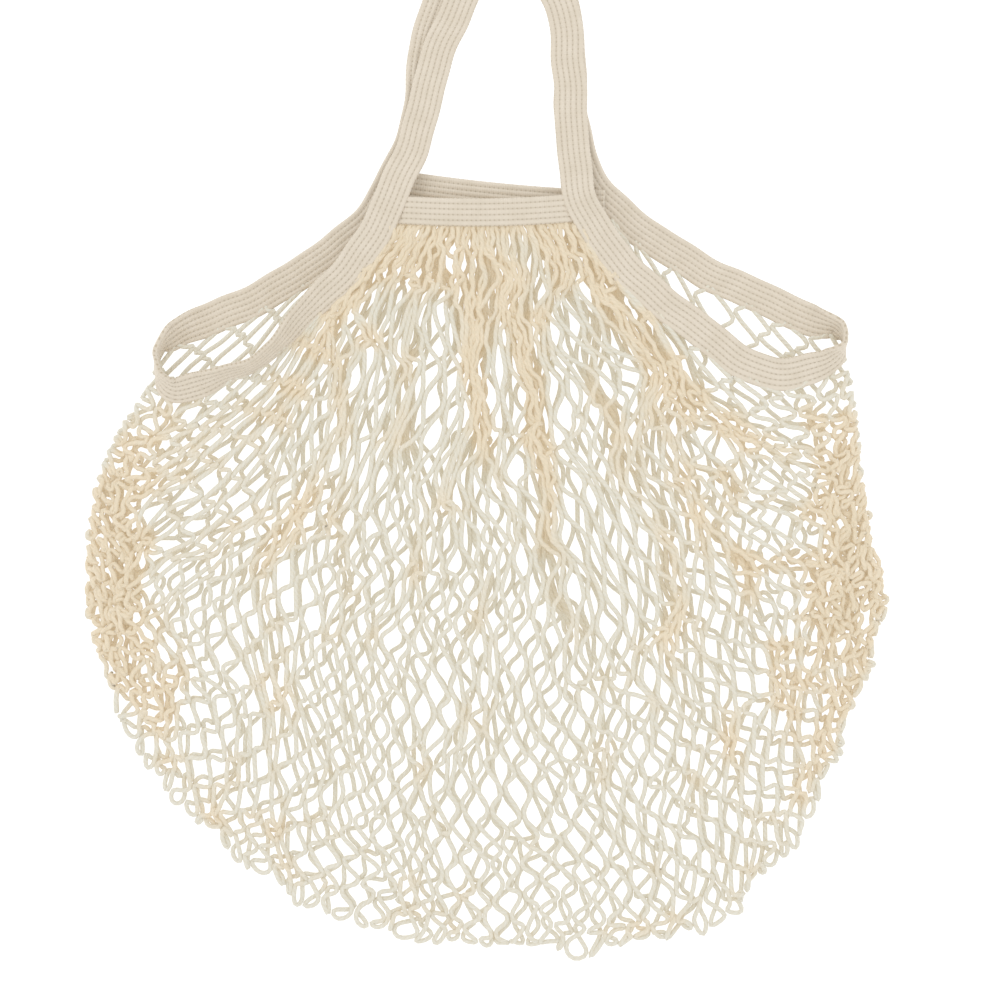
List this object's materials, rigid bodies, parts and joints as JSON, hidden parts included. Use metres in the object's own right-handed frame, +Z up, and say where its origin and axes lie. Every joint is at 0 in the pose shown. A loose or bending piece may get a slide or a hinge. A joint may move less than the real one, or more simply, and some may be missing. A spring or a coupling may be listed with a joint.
{
  "type": "cotton mesh bag",
  "caption": "Empty cotton string bag lying flat: a diamond net sack gathered under bands, edged by one webbing strap that rises into front and back carrying handles.",
  "frame": {"origin": "on the floor under the middle of the bag's outline, with the bag lying on its back", "axes": "+X across the bag to the right as seen from the front, +Y from the bottom fold to the handles, +Z up out of the front"},
  "size_m": [0.2996, 0.3804, 0.0169],
  "materials": {
    "webbing": "ribbed knitted webbing of unbleached cotton, matt",
    "net_cord": "twisted cord of unbleached cotton, matt"
  },
  "bodies": {
    "root": {"strap_loop": "webbing", "front_band": "webbing", "back_band": "webbing", "net": "net_cord"}
  },
  "joints": []
}
